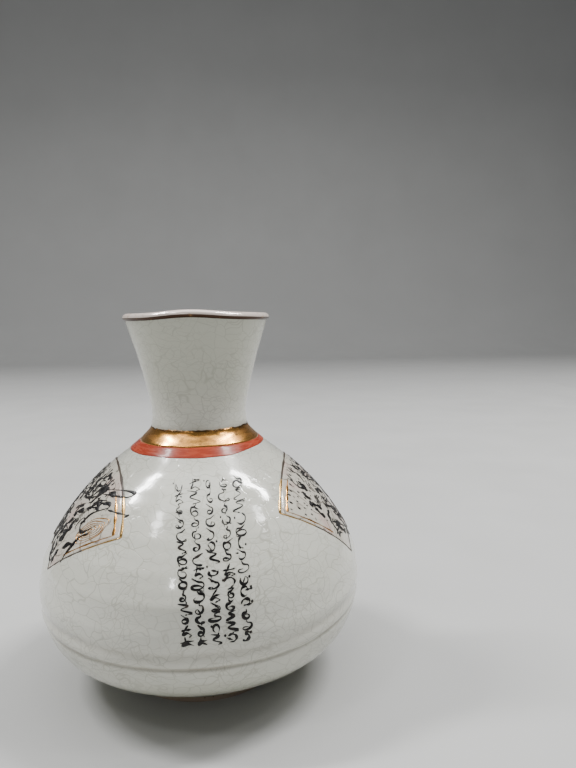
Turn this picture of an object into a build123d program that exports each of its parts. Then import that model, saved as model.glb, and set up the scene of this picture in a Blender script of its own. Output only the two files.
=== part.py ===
from build123d import *
import os
from math import asin, cos, degrees, radians, sin

# A squat two-go sake bottle (tokkuri) of glazed stoneware, with a flared pouring neck.
# It stands on its foot ring: +Z is up, -Y is the front with the script, and the origin
# is the centre of the foot ring's resting face. Sections are drawn as radius against
# height and turned about Z, because every clay member was thrown on a wheel.

# ---- driving dimensions, in millimetres ------------------------------------------------
belly_radius = 52.5  # widest point of the belly
total_height = 119.6  # table to lip
wall = 3.4  # whole wall, both glazes included
glaze = 0.35  # one coat of glaze
enamel = 0.15  # one layer of fired enamel or gilding
foot_radius = 26.0  # outside of the foot ring
throat_radius = 15.6  # narrowest outside radius of the neck

# ---- points of the outside, as (radius, height) ----------------------------------------
foot_height = 2.2
foot_ring_width = 3.6
chine_low = (0.827 * belly_radius, 0.103 * total_height)
chine_high = (0.949 * belly_radius, 0.165 * total_height)
equator = (belly_radius, 0.270 * total_height)
shoulder_low = (0.926 * belly_radius, 0.395 * total_height)
shoulder_high = (0.481 * belly_radius, 0.614 * total_height)
neck_corner = (1.026 * throat_radius, 0.683 * total_height)
crease_width = 1.2
crease_height = 1.5
shoulder_top = (neck_corner[0] + crease_width, neck_corner[1] - crease_height)
throat = (throat_radius, 0.713 * total_height)
neck_low = (1.038 * throat_radius, 0.761 * total_height)
neck_middle = (1.256 * throat_radius, 0.878 * total_height)
lip_outside = (1.532 * throat_radius, total_height)
lip_rounding = 0.45 * wall
floor_corner = 6.0
mouth_extension = 10.0  # the section's flare is drawn this far past the lip
flare_slope = 0.38  # radius gained for each millimetre of that extension

# ---- clay joints and the two grooves turned into the belly ------------------------------
well_radius = foot_radius - foot_ring_width  # the hollow inside the foot ring
bare_clay_height = 1.4  # the glaze stops this far above the table
foot_socket = 0.8  # the foot ring is let into the bowl by this much
seam_height = 24.6  # the bowl and the body are joined here
neck_seam_height = neck_corner[1]  # the body and the neck are joined here
lap = 4.0  # height of each half-lap joint
seam_groove = {"height": seam_height, "depth": 0.4, "radius": 0.6}
soft_groove = {"height": 28.8, "depth": 0.2, "radius": 2.4}

# ---- painted and gilded bands, as low and high edge --------------------------------------
gold_overlap = 0.6  # the gilding climbs this far up the neck
gold_band = (77.8, neck_corner[1] + gold_overlap)
red_band = (75.3, gold_band[0])
gilded_lip = (total_height - 2.6, total_height - 1.7)

# ---- brush columns on the front and the back ---------------------------------------------
column_count = 5
column_strokes = 9
column_top = 70.0
column_bottom = 32.0
column_pitch_top = 4.2
column_pitch_bottom = 3.8
column_shift_top = 1.7  # the block stands a little to the right
column_shift_bottom = 3.1
stroke_radius = 1.25  # each stroke is an open hook of this radius
stroke_sweep = 230.0
thin_stroke = 0.45
thick_stroke = 0.8
stroke_swing = 70.0  # the hooks turn this many degrees to and fro
column_azimuths = {"front": 0.0, "back": 180.0}

# ---- folding-fan panels on both sides ------------------------------------------------------
# pivot as (sideways, height) seen face on; front says which side is nearer the front of the
# bottle, left -1 or right +1
fans = {
    "right": {"azimuth": 85.0, "pivot": (-1.6, 27.6), "outer": 43.5, "front": -1},
    "left": {"azimuth": -85.0, "pivot": (2.7, 32.4), "outer": 39.5, "front": 1},
}
fan_inner_share = 0.44  # inner radius of the leaf as a share of its outer radius
fan_opening = 94.4  # degrees between the two straight sides
fan_lean = 5.2  # degrees to the right, seen face on
fan_edging = 0.6  # width of the line round the leaf
fan_rows = (0.54, 0.68, 0.82)  # rows of brushwork, as shares of the outer radius
fan_stroke_spacing = 16.0  # degrees between strokes in a row
fan_row_stagger = 3.0  # degrees that every second row is moved along
fan_side_margin = 20.0  # degrees left clear inside each straight side
fan_stroke_width = 1.2
fan_stroke_length = 5.0
fan_stroke_swing = 50.0  # the strokes turn this many degrees to and fro
gilding_inset = 1.3  # the gold corner line runs this far inside the leaf's edge
gilding_width = 0.5
gilding_reach = 13.0  # and ends this far from the leaf's front corner
grain_fans = ("left",)
grain_place = (0.83, 9.5)  # share of the outer radius, and degrees inside the front side
grain_rings = 3
grain_ring_pitch = 0.9
grain_stretch = 1.5  # the rings are this much longer than wide
grain_turn = 25.0
grain_line = 0.4

beyond = 3 * belly_radius  # further out than any point of the vessel
thin_slice = 0.01


# ---- sections: radius against height ---------------------------------------------------
def outline(extra_height=0.0):
    """Filled half section without the foot; extra_height carries the flare on past the lip."""
    above = (lip_outside[0] + flare_slope * extra_height, total_height + extra_height)
    with BuildSketch() as section:
        with BuildLine():
            lower = TangentArc(equator, chine_high, tangent=(0, -1))
            TangentArc(chine_high, chine_low, tangent=lower % 1)
            Line(chine_low, (foot_radius, foot_height))
            Line((foot_radius, foot_height), (0, foot_height))
            Line((0, foot_height), (0, above[1]))
            Line((0, above[1]), above)
            if extra_height:
                Line(above, lip_outside)
            flare = TangentArc(throat, neck_low, tangent=(0, 1))
            upper_flare = TangentArc(neck_low, neck_middle, tangent=flare % 1)
            TangentArc(neck_middle, lip_outside, tangent=upper_flare % 1)
            Line(throat, neck_corner)
            Line(neck_corner, shoulder_top)
            upper = TangentArc(equator, shoulder_low, tangent=(0, 1))
            shoulder = TangentArc(shoulder_low, shoulder_high, tangent=upper % 1)
            TangentArc(shoulder_high, shoulder_top, tangent=shoulder % 1)
        make_face()
    return section.sketch


def window(low, high, near=0.0, far=beyond, mode=Mode.INTERSECT):
    """Inside a sketch of a section, keeps or cuts what lies between two heights and radii."""
    with Locations(((near + far) / 2, (low + high) / 2)):
        Rectangle(far - near, high - low, mode=mode)


def redrawn(section):
    """The same section from fresh lines and arcs, which revolve and cut cleanly."""
    with BuildSketch() as fresh:
        with BuildLine():
            for edge in section.edges():
                if edge.geom_type == GeomType.CIRCLE:
                    ThreePointArc(edge @ 0, edge @ 0.5, edge @ 1)
                else:
                    Line(edge @ 0, edge @ 1)
        make_face()
    return fresh.sketch


def offset_section(section, amount):
    """A half section with its outline moved outwards by amount, and the axis left alone."""
    with BuildSketch() as moved:
        add(section)
        if amount:
            mirror(about=Plane.YZ)
            offset(amount=amount, kind=Kind.ARC)
            window(-beyond, beyond)
    return redrawn(moved.sketch)


def cavity():
    """Half section of the hollow inside, from the floor out through the mouth."""
    with BuildSketch() as section:
        add(offset_section(outline(mouth_extension), -wall))
        floor_edge = section.vertices().group_by(Axis.Y)[0].sort_by(Axis.X)[-1]
        fillet(floor_edge, floor_corner)
    return section.sketch


def outside_radius(height):
    """Radius of the outside of the glaze at a height."""
    with BuildSketch() as level:
        add(outline())
        window(height, height + thin_slice)
    return level.sketch.bounding_box().max.X


def wall_section(inset):
    """Half section of the wall, with both of its faces moved into the wall by inset."""
    with BuildSketch() as section:
        add(offset_section(outline(mouth_extension), -inset))
        window(0, total_height - inset)
        foot_faces = {"near": well_radius + inset, "far": foot_radius - inset}
        window(bare_clay_height, foot_height + inset, **foot_faces, mode=Mode.ADD)
        window(0, bare_clay_height, near=well_radius, far=foot_radius, mode=Mode.ADD)
        for turned in (seam_groove, soft_groove):
            reach = outside_radius(turned["height"]) + turned["radius"] - turned["depth"]
            with Locations((reach, turned["height"])):
                Circle(turned["radius"] + inset, mode=Mode.SUBTRACT)
        add(offset_section(cavity(), inset), mode=Mode.SUBTRACT)
        fillet(section.vertices().group_by(Axis.Y)[-1], lip_rounding - inset)
    return section.sketch


middle = offset_section(outline(mouth_extension), -wall / 2)
all_clay = wall_section(glaze)
with BuildSketch() as glaze_section:
    add(wall_section(0))
    add(all_clay, mode=Mode.SUBTRACT)
all_glaze = glaze_section.sketch


def inner_half(section):
    """The part of a section on the hollow side of the wall's middle line."""
    with BuildSketch() as half:
        add(section)
        add(middle, mode=Mode.INTERSECT)
    return half.sketch


def outer_half(section):
    """The part of a section on the outside of the wall's middle line."""
    with BuildSketch() as half:
        add(section)
        add(middle, mode=Mode.SUBTRACT)
    return half.sketch


def cut_out(section, low, high, near=0.0, far=beyond):
    """The part of a section between two heights and two radii."""
    with BuildSketch() as piece:
        add(section)
        window(low, high, near, far)
    return piece.sketch


def skin(near, far, low, high):
    """Section of a thin coat on the outside, from near to far above the glaze."""
    with BuildSketch() as coat:
        add(offset_section(outline(mouth_extension), far))
        add(offset_section(outline(mouth_extension), near), mode=Mode.SUBTRACT)
        window(low, high, near=throat_radius - 1)
    return coat.sketch


# ---- making and writing the pieces -------------------------------------------------------
def save(piece, label):
    """Labels a finished piece and writes it to its own file."""
    piece.part.label = label
    export_step(piece.part, f"parts/{label}.step")


def turned(label, section):
    """A piece turned about the bottle's axis from its half section."""
    with BuildPart() as piece:
        with BuildSketch(Plane.XZ):
            add(section)
        revolve(axis=Axis.Z)
    save(piece, label)


def facing(azimuth):
    """An upright plane through the axis, seen face on from outside at an azimuth from -Y."""
    turn = radians(azimuth)
    return Plane(origin=(0, 0, 0), x_dir=(cos(turn), sin(turn), 0), z_dir=(sin(turn), -cos(turn), 0))


def painted(label, azimuth, drawing, coat):
    """A piece of a coat, cut out by a flat drawing pushed through it from one side."""
    with BuildPart() as piece:
        with BuildSketch(facing(azimuth)):
            add(drawing)
        extrude(amount=belly_radius + 1)
        with BuildSketch(Plane.XZ):
            add(coat)
        revolve(axis=Axis.Z, mode=Mode.INTERSECT)
    save(piece, label)


# ---- the clay members --------------------------------------------------------------------
os.makedirs("parts", exist_ok=True)
foot_joint = foot_height + foot_socket
foot_piece = cut_out(all_clay, 0, foot_joint, near=well_radius, far=foot_radius)
with BuildSketch() as bowl:
    add(cut_out(all_clay, 0, seam_height))
    add(inner_half(cut_out(all_clay, seam_height, seam_height + lap)))
    add(foot_piece, mode=Mode.SUBTRACT)
with BuildSketch() as belly:
    add(outer_half(cut_out(all_clay, seam_height, seam_height + lap)))
    add(cut_out(all_clay, seam_height + lap, neck_seam_height - lap))
    add(outer_half(cut_out(all_clay, neck_seam_height - lap, neck_seam_height)))
with BuildSketch() as neck_section:
    add(inner_half(cut_out(all_clay, neck_seam_height - lap, neck_seam_height)))
    add(cut_out(all_clay, neck_seam_height, total_height))

turned("foot_ring", foot_piece)
turned("bowl_base", bowl.sketch)
turned("belly_shell", belly.sketch)
turned("neck", neck_section.sketch)

# ---- glaze -------------------------------------------------------------------------------
well_glaze = cut_out(all_glaze, 0, foot_height + glaze, far=well_radius + glaze)
with BuildSketch() as outside_coat:
    add(outer_half(all_glaze))
    add(well_glaze, mode=Mode.SUBTRACT)

turned("foot_well_glaze", well_glaze)
turned("outer_glaze", outside_coat.sketch)
turned("inner_glaze", inner_half(all_glaze))

# ---- bands -------------------------------------------------------------------------------
turned("gold_collar_band", skin(0, enamel, *gold_band))
turned("red_shoulder_band", skin(0, enamel, *red_band))
turned("lip_gilding", skin(0, enamel, *gilded_lip))


# ---- brush columns: abstract running strokes, heavier towards the foot ---------------------
def brush_column(column):
    """Drawing of one column, seen face on: separate hooked strokes, one below another."""
    place = column - (column_count - 1) / 2
    step = (column_top - column_bottom) / column_strokes
    with BuildSketch() as drawing:
        for stroke in range(column_strokes):
            down = (stroke + 0.5) / column_strokes
            pitch = column_pitch_top + (column_pitch_bottom - column_pitch_top) * down
            shift = column_shift_top + (column_shift_bottom - column_shift_top) * down
            width = thin_stroke + (thick_stroke - thin_stroke) * down
            turn = stroke_swing * sin(1.7 * stroke + 0.9 * column) + 180.0 * (stroke % 2) - 90.0
            centre = Location((place * pitch + shift, column_top - (stroke + 0.5) * step), turn)
            with Locations(centre):
                SlotArc(CenterArc((0, 0), stroke_radius, 0, stroke_sweep), width)
    return drawing.sketch


ink = skin(0, enamel, column_bottom - 1, column_top + 1)
for side_name, side_azimuth in column_azimuths.items():
    for number in range(column_count):
        painted(f"{side_name}_brush_column_{number + 1}", side_azimuth, brush_column(number), ink)


# ---- folding-fan panels --------------------------------------------------------------------
def on_fan(fan, radius, angle):
    """Point of a fan at a radius from its pivot and degrees clockwise from its middle."""
    turn = radians(fan_lean + angle)
    return (fan["pivot"][0] + radius * sin(turn), fan["pivot"][1] + radius * cos(turn))


def fan_leaf(fan, inset):
    """Drawing of the fan's leaf: a ring sector, drawn in from its edge by inset."""
    outer = fan["outer"] - inset
    inner = fan["outer"] * fan_inner_share + inset
    outer_half = fan_opening / 2 - degrees(asin(inset / outer))
    inner_half = fan_opening / 2 - degrees(asin(inset / inner))
    with BuildSketch() as leaf:
        with BuildLine():
            left = Line(on_fan(fan, inner, -inner_half), on_fan(fan, outer, -outer_half))
            right = Line(on_fan(fan, outer, outer_half), on_fan(fan, inner, inner_half))
            ThreePointArc(left @ 1, on_fan(fan, outer, 0), right @ 0)
            ThreePointArc(right @ 1, on_fan(fan, inner, 0), left @ 0)
        make_face()
    return leaf.sketch


def fan_edge_line(fan, inset, width):
    """Drawing of a line of a width that runs round the leaf, inset from its edge."""
    with BuildSketch() as edge_line:
        add(fan_leaf(fan, inset))
        add(fan_leaf(fan, inset + width), mode=Mode.SUBTRACT)
    return edge_line.sketch


def fan_gilding(fan):
    """Drawing of the gold line just inside the leaf's front top corner."""
    corner = on_fan(fan, fan["outer"], fan["front"] * fan_opening / 2)
    with BuildSketch() as drawing:
        add(fan_edge_line(fan, gilding_inset, gilding_width))
        with Locations(corner):
            Circle(gilding_reach, mode=Mode.INTERSECT)
    return drawing.sketch


def fan_brushwork(fan):
    """Drawing of rows of slanting strokes across the leaf, clear of its corners."""
    reach = fan_opening / 2 - fan_side_margin
    with BuildSketch() as drawing:
        for row, share in enumerate(fan_rows):
            for stroke in range(int(2 * reach / fan_stroke_spacing) + 1):
                angle = -reach + stroke * fan_stroke_spacing + fan_row_stagger * (row % 2)
                turn = -fan_lean - angle + fan_stroke_swing * sin(1.3 * stroke + row)
                with Locations(Location(on_fan(fan, fan["outer"] * share, angle), turn)):
                    SlotOverall(fan_stroke_length, fan_stroke_width)
    return drawing.sketch


def fan_grain(fan):
    """Drawing of the nested wood-grain rings in the fan's front top corner."""
    share, inside = grain_place
    centre = on_fan(fan, fan["outer"] * share, fan["front"] * (fan_opening / 2 - inside))
    with BuildSketch() as drawing:
        for ring in range(grain_rings):
            size = (ring + 1) * grain_ring_pitch
            with BuildSketch(mode=Mode.PRIVATE) as loop:
                with Locations(Location(centre, grain_turn)):
                    Ellipse(size * grain_stretch, size)
                    inner = size - grain_line
                    Ellipse(inner * grain_stretch, inner, mode=Mode.SUBTRACT)
            add(loop.sketch)
    return drawing.sketch


ground_coat = skin(0, enamel, foot_height, neck_corner[1])
drawn_coat = skin(enamel, 2 * enamel, foot_height, neck_corner[1])
for side_name, fan in fans.items():
    side_azimuth = fan["azimuth"]
    painted(f"{side_name}_fan_ground", side_azimuth, fan_leaf(fan, fan_edging), ground_coat)
    painted(f"{side_name}_fan_edging", side_azimuth, fan_edge_line(fan, 0, fan_edging), ground_coat)
    painted(f"{side_name}_fan_brushwork", side_azimuth, fan_brushwork(fan), drawn_coat)
    painted(f"{side_name}_fan_gilding", side_azimuth, fan_gilding(fan), drawn_coat)
    if side_name in grain_fans:
        painted(f"{side_name}_fan_grain", side_azimuth, fan_grain(fan), drawn_coat)
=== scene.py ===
"""Looks of the sake bottle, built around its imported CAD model: glaze, gilding, enamels and studio."""

import random
from math import asin, atan2, cos, degrees, exp, hypot, pi, radians, sin, tau

import bpy
import numpy as np
from mathutils import Matrix, Vector, noise


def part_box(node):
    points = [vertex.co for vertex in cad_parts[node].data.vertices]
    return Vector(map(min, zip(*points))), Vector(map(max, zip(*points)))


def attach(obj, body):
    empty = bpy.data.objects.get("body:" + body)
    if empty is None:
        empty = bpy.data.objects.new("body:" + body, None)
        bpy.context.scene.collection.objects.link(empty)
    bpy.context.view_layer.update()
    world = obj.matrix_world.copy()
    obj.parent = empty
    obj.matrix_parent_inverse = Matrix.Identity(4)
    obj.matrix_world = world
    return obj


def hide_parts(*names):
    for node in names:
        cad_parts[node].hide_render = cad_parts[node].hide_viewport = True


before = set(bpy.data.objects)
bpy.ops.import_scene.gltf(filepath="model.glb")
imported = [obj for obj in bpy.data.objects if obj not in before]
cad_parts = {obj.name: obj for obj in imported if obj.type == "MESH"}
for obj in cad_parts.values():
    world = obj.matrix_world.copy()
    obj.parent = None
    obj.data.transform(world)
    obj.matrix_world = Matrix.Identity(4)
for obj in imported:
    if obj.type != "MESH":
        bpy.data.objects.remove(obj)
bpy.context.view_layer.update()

MM = 0.001
BODY = "root"

# ---- sizes in millimetres, from the frame and the bottle's own proportions ----------------
belly_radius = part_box("outer_glaze")[1].x / MM
total_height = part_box("outer_glaze")[1].z / MM
foot_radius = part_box("foot_ring")[1].x / MM
throat_radius = 15.6
wall = 3.4
lap = 4.0
glaze = 0.35
foot_height = 2.2
bare_clay_height = 1.4
lip_rounding = 0.45 * wall
neck_foot = 0.683 * total_height  # where the neck stands on the shoulder
line_step = 0.4  # spacing of the points along a section
columns_round = 240
near_axis = 0.02  # sections that reach the axis stop at this radius

# ---- grooves and unevenness ----------------
seam_height = 24.6
seam_rise = 1.6  # the seam climbs this much towards the right
seam_depth = 0.55
seam_width = 0.50
soft_groove_above = 4.2  # this far above the seam
soft_groove_depth = 0.36
soft_groove_width = 1.5
bead_above = 2.1
bead_height = 0.16
bead_width = 1.4
throwing_rings = 0.10  # height of the rings left by the potter's fingers
throwing_rings_middle = 38.0
throwing_rings_spread = 12.0
wall_settling = 0.12  # the whole wall stands this far inside its true section
rim_drop = 0.8  # the lip is lower than its highest point by this much, away from the front
rim_peak_azimuth = -0.12
rim_peak_width = 0.42

# ---- heights of what is painted on the glaze ----------------
paint_edge = 0.02  # the thin edge of a painted layer
band_sunk = 0.06  # a band's back lies this deep in the glaze
leaf_half_height = 0.05
red_height = 0.07
gold_height = 0.11
column_ink = 0.09
fan_ink = 0.16
outline_ink = 0.12
corner_gold = 0.13
grain_gold = 0.14

# ---- bands ----------------
gold_low = 77.8
gold_high = neck_foot + 0.7
red_low = 75.2
red_narrowing = 1.2  # the red band is narrower by this much on the right
lip_gilding_depth = 2.3  # the lip is gilded down to here, and over its crown

# ---- brush columns ----------------
column_count = 5
column_marks = 14
column_top = 70.6
column_bottom = 31.8
pitch_top = 4.2
pitch_bottom = 3.95
shift_top = 2.0
shift_bottom = 3.1
mark_half_width = 1.6
thin_stroke = 0.36
thick_stroke = 0.78
column_azimuths = {"front": 0.0, "back": pi}

# ---- fans: pivot as (sideways, height) seen face on; front is the side nearer the bottle's front
fans = {
    "right": {"azimuth": radians(85.0), "pivot": (-1.6, 27.6), "outer": 43.5, "front": -1},
    "left": {"azimuth": radians(-85.0), "pivot": (2.7, 32.4), "outer": 39.5, "front": 1},
}
fan_inner_share = 0.44
fan_half_opening = 47.2
fan_lean = 5.2
fan_edging = 0.5
gilding_inset = 1.3
gilding_reach = 13.0
gilt_fade = (9.0, 17.0)  # the outline's gilding fades out between these distances from the corner
brush_rows = 8
brush_low = 0.49  # shares of the outer radius that the rows of marks lie between
brush_high = 0.92
mark_spacing = 4.1
grain_fans = ("left",)
grain_place = (0.83, 9.5)  # share of the outer radius, and degrees inside the fan's front side


# ==== the bottle's surface ================
def arc_points(start, heading, end):
    """Points of the arc that leaves start at a heading and reaches end, and its last heading."""
    across, up = end[0] - start[0], end[1] - start[1]
    chord = hypot(across, up)
    turn = 2 * (atan2(up, across) - heading)
    turn = (turn + pi) % tau - pi
    radius = chord / (2 * sin(turn / 2))
    count = max(3, int(abs(radius * turn) / line_step))
    points = []
    for step in range(1, count + 1):
        now = heading + turn * step / count
        across_now = start[0] + radius * (sin(now) - sin(heading))
        points.append((across_now, start[1] + radius * (cos(heading) - cos(now))))
    return points, heading + turn


def arc_chain(start, heading, *ends):
    """Points of arcs that follow one another smoothly through the given ends."""
    points = [start]
    for end in ends:
        arc, heading = arc_points(points[-1], heading, end)
        points += arc
    return points


def resample(points, spacing):
    """Evenly spaced points along a line of points."""
    line = np.array(points)
    along = np.concatenate([[0], np.cumsum(np.hypot(*np.diff(line, axis=0).T))])
    places = np.linspace(0, along[-1], int(along[-1] / spacing) + 1)
    return np.stack([np.interp(places, along, line[:, 0]), np.interp(places, along, line[:, 1])], axis=1)


def softened(line, rounds):
    """A line with its corners rounded off, as glaze rounds them."""
    for _ in range(rounds):
        line[1:-1] = 0.25 * line[:-2] + 0.5 * line[1:-1] + 0.25 * line[2:]
    return line


def offset_line(line, amount):
    """A line moved sideways, to the right of its direction where amount is above zero."""
    along = np.gradient(line, axis=0)
    along /= np.hypot(along[:, 0], along[:, 1])[:, None]
    return line + amount * np.stack([along[:, 1], -along[:, 0]], axis=1)


def outside_line():
    """Radius and height along the outside of the glaze, from the foot to the lip."""
    chine_low = (0.827 * belly_radius, 0.103 * total_height)
    chine_high = (0.949 * belly_radius, 0.165 * total_height)
    equator = (belly_radius, 0.270 * total_height)
    shoulder_low = (0.926 * belly_radius, 0.395 * total_height)
    shoulder_high = (0.481 * belly_radius, 0.614 * total_height)
    neck_corner = (1.026 * throat_radius, neck_foot)
    shoulder_top = (neck_corner[0] + 1.2, neck_corner[1] - 1.5)
    throat = (throat_radius, 0.713 * total_height)
    neck_low = (1.038 * throat_radius, 0.761 * total_height)
    neck_middle = (1.256 * throat_radius, 0.878 * total_height)
    lip_outside = (1.532 * throat_radius, total_height)
    lower = arc_chain(equator, -pi / 2, chine_high, chine_low)
    upper = arc_chain(equator, pi / 2, shoulder_low, shoulder_high, shoulder_top)
    neck = arc_chain(throat, pi / 2, neck_low, neck_middle, lip_outside)
    foot = [(foot_radius, bare_clay_height), (foot_radius, foot_height)]
    whole = foot + lower[::-1] + upper[1:] + [neck_corner] + neck
    return softened(resample(whole, line_step), 4)


outside = outside_line()
outside_heights = outside[:, 1]
outside_slopes = np.gradient(outside[:, 0], outside[:, 1])


def smooth_step(value, low, high):
    """0 below low, 1 above high and a smooth rise between."""
    share = min(1.0, max(0.0, (value - low) / (high - low)))
    return share * share * (3 - 2 * share)


def bell(value, centre, width):
    """A bump of height 1 at a centre."""
    return exp(-(((value - centre) / width) ** 2))


def turned_away(azimuth, centre):
    """Angle between two azimuths, between -pi and pi."""
    return (azimuth - centre + pi) % tau - pi


def towards_right(azimuth):
    """1 at the bottle's right, and 0 in front, behind and on the left."""
    return smooth_step(sin(azimuth), 0.3, 1.0)


def seam_at(azimuth):
    """Height of the seam between bowl and belly, which climbs a little to the right."""
    return seam_height + seam_rise * towards_right(azimuth)


def unevenness(azimuth, height):
    """How far the thrown and glazed wall stands out from its true section."""
    slow = 0.08 * sin(2 * azimuth + 0.6 + 0.02 * height) + 0.04 * sin(3 * azimuth - 1.1 - 0.03 * height)
    rings = 0.02 * sin(1.7 * height + azimuth) + 0.015 * sin(0.9 * height - 2 * azimuth)
    fingers = throwing_rings * sin(0.8 * height + 0.6 * sin(azimuth))
    rings += fingers * bell(height, throwing_rings_middle, throwing_rings_spread)
    grain = 0.05 * noise.noise(Vector((3 * cos(azimuth), 3 * sin(azimuth), 0.09 * height)))
    seam = seam_at(azimuth)
    grooves = seam_depth * bell(height, seam, seam_width)
    grooves += soft_groove_depth * bell(height, seam + soft_groove_above, soft_groove_width)
    bead = bead_height * bell(height, seam + bead_above, bead_width)
    return (slow + rings + grain) * smooth_step(height, foot_height, 12.0) - grooves + bead - wall_settling


def placed(azimuth, radius, height):
    """The point in metres at an azimuth from the front, a radius and a height."""
    return Vector((radius * sin(azimuth), -radius * cos(azimuth), height)) * MM


def rim_rise(azimuth, height):
    """How far a point near the lip is lifted or lowered by the wavy rim."""
    peak = bell(turned_away(azimuth, rim_peak_azimuth), 0.0, rim_peak_width)
    wave = rim_drop * (peak - 1) + 0.08 * sin(3 * azimuth + 1.0) - 0.08
    return wave * smooth_step(height, 0.86 * total_height, total_height)


def on_surface(azimuth, height, lift=0.0):
    """Point in metres on the uneven outside at an azimuth from the front, and lifted off it."""
    slope = float(np.interp(height, outside_heights, outside_slopes))
    length = hypot(1.0, slope)
    radius = float(np.interp(height, outside_heights, outside[:, 0]))
    radius += unevenness(azimuth, height) + lift / length
    up = height + rim_rise(azimuth, height) - lift * slope / length
    return placed(azimuth, radius, up)


# ==== making meshes ================
def make_piece(name, points, faces, look, node):
    """A mesh piece that rides on the bottle and stands for a CAD node."""
    material, slot = look
    mesh = bpy.data.meshes.new(name)
    mesh.from_pydata([tuple(point) for point in points], [], faces)
    mesh.validate()
    mesh.polygons.foreach_set("use_smooth", [True] * len(mesh.polygons))
    mesh.materials.append(material)
    mesh.update()
    piece = bpy.data.objects.new(name, mesh)
    bpy.context.scene.collection.objects.link(piece)
    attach(piece, BODY)
    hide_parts(node)
    return piece


def ring_faces(rows, columns):
    """Quads of a grid of points that closes round the bottle, and from the last row to the first."""
    faces = []
    for row in range(rows):
        low, high = row * columns, (row + 1) % rows * columns
        for column in range(columns):
            beside = (column + 1) % columns
            faces.append((low + column, low + beside, high + beside, high + column))
    return faces


def turned_piece(name, loop, look, node):
    """A closed piece turned from a loop of section points, following the wall's unevenness."""
    points = []
    for place in loop:
        points += [place_uneven(tau * column / columns_round, place) for column in range(columns_round)]
    return make_piece(name, points, ring_faces(len(loop), columns_round), look, node)


def place_uneven(azimuth, place):
    """A section point placed with the unevenness of the wall at its height."""
    radius = place[0] + unevenness(azimuth, place[1])
    return placed(azimuth, radius, place[1] + rim_rise(azimuth, place[1]))


def band_piece(name, edges, thickness, look, node):
    """A raised band round the bottle between edges(azimuth), thinning towards both of them."""
    rows = 13
    columns = 2 * columns_round
    points = []
    shares = []
    for side in (1, -1):
        for row in range(rows):
            share = row / (rows - 1) if side == 1 else 1 - row / (rows - 1)
            for column in range(columns):
                azimuth = tau * column / columns
                low, high = edges(azimuth)
                raised = paint_edge + thickness * (1 - (2 * share - 1) ** 4)
                lift = raised if side == 1 else -band_sunk
                points.append(on_surface(azimuth, low + (high - low) * share, lift))
                shares.append(share)
    piece = make_piece(name, points, ring_faces(2 * rows, columns), look, node)
    store_shares(piece, "up", shares)


# ==== drawing with a brush on the surface ================
def face_on(azimuth, place, lift):
    """The surface point that is seen at a place, sideways and up, when looking straight at an azimuth."""
    radius = float(np.interp(place[1], outside_heights, outside[:, 0]))
    reach = max(-0.999, min(0.999, place[0] / radius))
    return on_surface(azimuth + asin(reach), place[1], lift)


def curve_through(waypoints, steps):
    """A smooth curve through waypoints, as a Catmull-Rom spline."""
    ends = [2 * waypoints[0] - waypoints[1]] + list(waypoints) + [2 * waypoints[-1] - waypoints[-2]]
    curve = []
    for index in range(1, len(ends) - 2):
        before, start, end, after = ends[index - 1:index + 3]
        for step in range(steps):
            t = step / steps
            squared = (2 * before - 5 * start + 4 * end - after) * t ** 2
            cubed = (3 * start - before - 3 * end + after) * t ** 3
            curve.append(0.5 * (2 * start + (end - before) * t + squared + cubed))
    curve.append(ends[-2])
    return curve


# A brush stroke's section: share of its half width, and share of its full height.
stroke_section = ((-1.0, 0.15), (-0.7, 0.8), (0.0, 1.0), (0.7, 0.8), (1.0, 0.15), (0.6, -0.5), (-0.6, -0.5))


class Brush:
    """Gathers raised strokes that become one piece."""

    def __init__(self, azimuth, height):
        self.azimuth = azimuth
        self.height = height
        self.points = []
        self.faces = []

    def stroke(self, path, widths):
        """Adds one closed stroke along a path of places, with a width at each."""
        places = np.array(path)
        along = np.gradient(places, axis=0)
        along /= np.maximum(1e-9, np.hypot(along[:, 0], along[:, 1]))[:, None]
        first = len(self.points)
        size = len(stroke_section)
        for place, way, width in zip(places, along, widths):
            for across, rise in stroke_section:
                side = place + np.array([way[1], -way[0]]) * across * width / 2
                self.points.append(face_on(self.azimuth, side, rise * self.height))
        for ring in range(len(places) - 1):
            for corner in range(size):
                beside = (corner + 1) % size
                low, high = first + ring * size, first + (ring + 1) * size
                self.faces.append((low + corner, high + corner, high + beside, low + beside))
        self.faces.append(tuple(first + corner for corner in range(size)))
        last = first + (len(places) - 1) * size
        self.faces.append(tuple(last + corner for corner in reversed(range(size))))

    def drawn(self, waypoints, width, rng, steps=5):
        """Adds a tapering stroke through waypoints, pressed harder here and there."""
        curve = curve_through([np.array(point, float) for point in waypoints], steps)
        phase = rng.uniform(0, tau)
        waves = rng.uniform(1.0, 2.5)
        widths = []
        for index in range(len(curve)):
            share = index / (len(curve) - 1)
            press = 0.85 + 0.35 * sin(phase + waves * tau * share)
            taper = min(1.0, 0.35 + 5 * share, 0.12 + 4 * (1 - share))
            widths.append(width * press * taper)
        self.stroke(curve, widths)

    def dot(self, place, size):
        """Adds a round blob."""
        path = [(place[0], place[1] + size * (step / 3 - 1)) for step in range(7)]
        self.stroke(path, [2 * size * max(0.15, (1 - (step / 3 - 1) ** 2)) ** 0.5 for step in range(7)])

    def piece(self, name, look, node):
        """The strokes as one piece."""
        return make_piece(name, self.points, self.faces, look, node)


def looped(centre, reach, start, sweep, drift):
    """Waypoints of a turning stroke about a centre, sinking by drift as it turns."""
    count = max(4, int(abs(sweep) / 0.9))
    points = []
    for step in range(count + 1):
        turn = start + sweep * step / count
        sink = drift * step / count
        points.append((centre[0] + reach[0] * cos(turn), centre[1] + reach[1] * sin(turn) - sink))
    return points


# A zigzag mark's corners: share of its half width to one side, and share of its height.
zigzag = ((1.0, 0.5), (-0.5, 0.3), (0.6, -0.05), (-1.0, -0.4), (-0.3, -0.55))


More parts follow.
